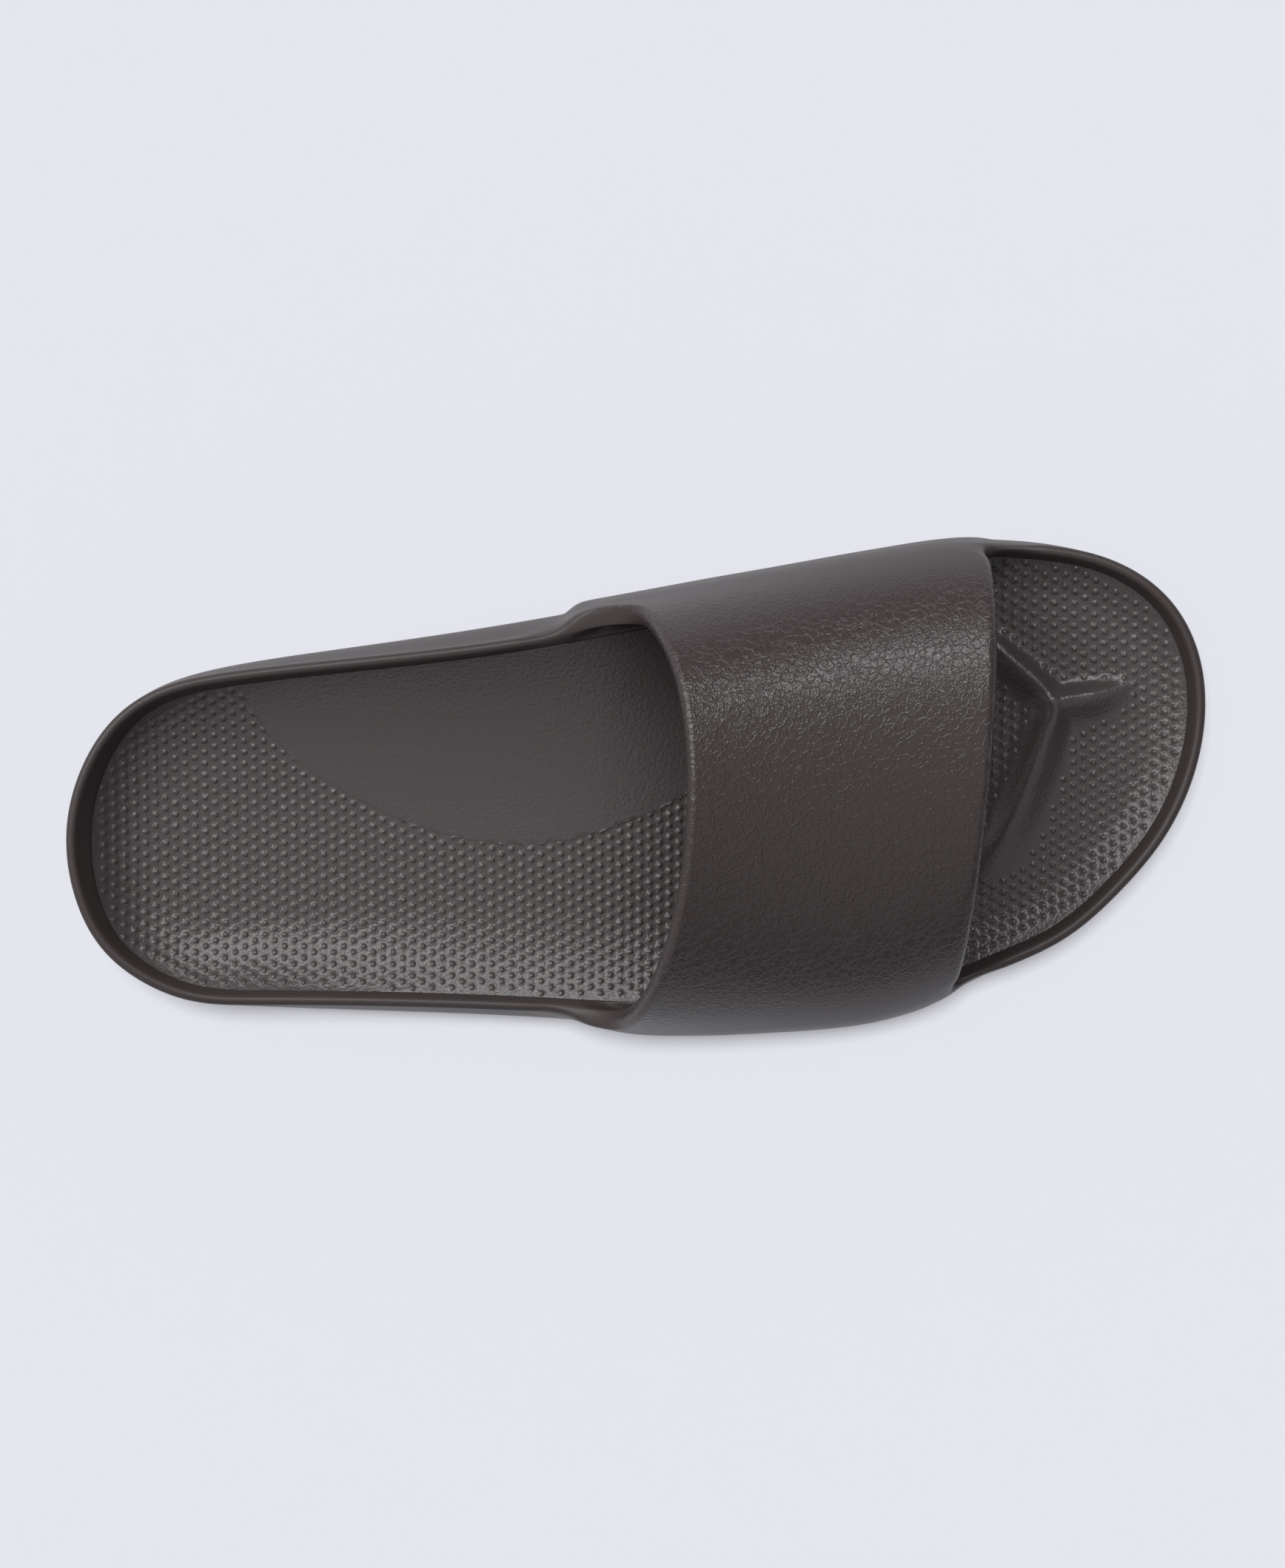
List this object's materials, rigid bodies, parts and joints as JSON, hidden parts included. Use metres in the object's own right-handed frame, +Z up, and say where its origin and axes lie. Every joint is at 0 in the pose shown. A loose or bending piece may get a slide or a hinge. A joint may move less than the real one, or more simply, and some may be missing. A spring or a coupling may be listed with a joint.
{
  "type": "sport slide sandal",
  "caption": "Moulded foam slide sandal for the right foot, with a broad instep strap, raised rim, contoured nubbed footbed and lugged tread.",
  "frame": {"origin": "on the floor under the middle of the shoe's length and width", "axes": "+X towards the toe, +Y towards the big-toe side, +Z up"},
  "size_m": [0.285, 0.1197, 0.0784],
  "materials": {
    "moulded_foam": "charcoal closed-cell foam with a fine leather-like wrinkle grain, satin",
    "footbed_foam": "charcoal foam with small round nubs and a smooth arch pad, slightly glossy",
    "outsole_rubber": "dark matt moulded rubber"
  },
  "bodies": {
    "root": {"upper_and_midsole": "moulded_foam", "footbed": "footbed_foam", "outsole": "outsole_rubber"}
  },
  "joints": []
}
